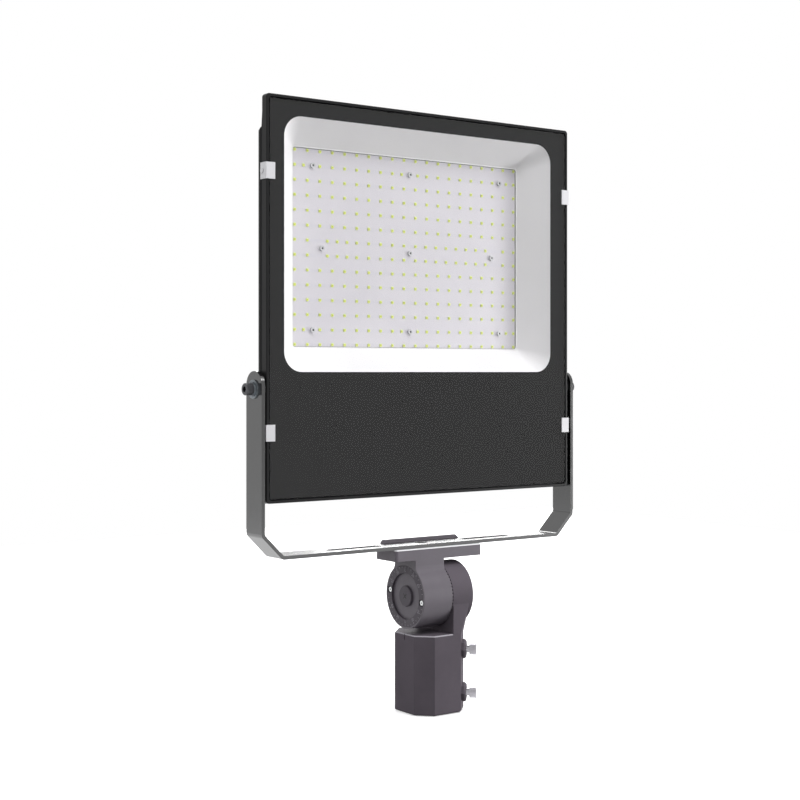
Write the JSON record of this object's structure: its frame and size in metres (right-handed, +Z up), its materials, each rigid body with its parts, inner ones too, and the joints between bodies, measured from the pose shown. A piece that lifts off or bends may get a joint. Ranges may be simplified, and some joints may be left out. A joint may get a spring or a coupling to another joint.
{
  "type": "stadium flood light",
  "caption": "Square flat LED flood light head with a white reflector behind glass, tilting in a U-shaped yoke on an adjustable pole slipfitter.",
  "frame": {"origin": "centre of the pole socket's open mouth", "axes": "+Z up along the pole, light shines towards -Y, both tilt axes are parallel to X"},
  "size_m": [0.4592, 0.0892, 0.6755],
  "materials": {
    "head_black_paint": "fine satin black powder coat on a die casting",
    "yoke_grey_paint": "satin powder coat",
    "bracket_grey_paint": "satin powder coat on a casting",
    "zinc_steel": "bright zinc plating",
    "black_oxide_steel": "black oxide",
    "clear_glass": "polished toughened glass",
    "black_print": "fired black print behind glass",
    "silicone": "matt silicone",
    "white_reflector": "semi-gloss white",
    "insulating_film": "matt film",
    "white_board": "white solder mask on aluminium",
    "led_phosphor": "yellow-green phosphor in silicone",
    "driver_case": "anodised",
    "white_plastic": "moulded nylon",
    "black_plastic": "moulded nylon",
    "blue_plastic": "potted plastic case",
    "lead_insulation": "silicone lead",
    "clip_white": "white painted spring steel"
  },
  "bodies": {
    "pole_mount": {"pole_socket": "bracket_grey_paint", "knuckle_bolt": "zinc_steel", "knuckle_nut": "zinc_steel", "knuckle_washers": "zinc_steel"},
    "yoke_frame": {"knuckle_bracket": "bracket_grey_paint", "angle_scale": "bracket_grey_paint", "scale_screws": "zinc_steel", "bolt_cap": "bracket_grey_paint", "yoke": "yoke_grey_paint", "yoke_screw": "black_oxide_steel"},
    "clamp_bolt_upper": {"clamp_bolt_upper": "zinc_steel"},
    "clamp_bolt_lower": {"clamp_bolt_lower": "zinc_steel"},
    "lamp_head": {"rear_housing": "head_black_paint", "heat_sink": "head_black_paint", "heat_sink_screws": "zinc_steel", "front_glass": "clear_glass", "glass_print": "black_print", "glass_gasket": "silicone", "reflector": "white_reflector", "reflector_insulator": "insulating_film", "led_board": "white_board", "led_packages": "led_phosphor", "board_screws": "zinc_steel", "led_driver": "driver_case", "driver_screws": "zinc_steel", "terminal_block": "white_plastic", "input_leads": "lead_insulation", "board_leads": "lead_insulation", "surge_protector": "blue_plastic", "cover_gasket": "silicone", "driver_cover": "head_black_paint", "cover_screws": "zinc_steel", "gland_body": "black_plastic", "gland_locknut": "black_plastic", "gland_nut": "black_plastic", "gland_seal": "silicone", "vent_valve": "black_plastic", "pivot_spacers": "black_plastic", "pivot_washers": "zinc_steel", "spring_washers": "zinc_steel", "pivot_bolts": "black_oxide_steel", "glass_clips": "clip_white", "clip_screws": "zinc_steel"}
  },
  "joints": [
    {"name": "knuckle_tilt", "type": "hinge", "parent": "pole_mount", "child": "yoke_frame", "pos_m": [0, 0, 0.131], "axis": [1, 0, 0], "range_deg": [-90, 90]},
    {"name": "head_tilt", "type": "hinge", "parent": "yoke_frame", "child": "lamp_head", "pos_m": [-0.012, 0, 0.3655], "axis": [1, 0, 0], "range_deg": [-90, 90]},
    {"name": "clamp_bolt_upper_travel", "type": "slide", "parent": "pole_mount", "child": "clamp_bolt_upper", "axis": [-0.7071, 0.7071, 0], "range_m": [0, 0.0035]},
    {"name": "clamp_bolt_lower_travel", "type": "slide", "parent": "pole_mount", "child": "clamp_bolt_lower", "axis": [-0.7071, 0.7071, 0], "range_m": [0, 0.0035]}
  ]
}
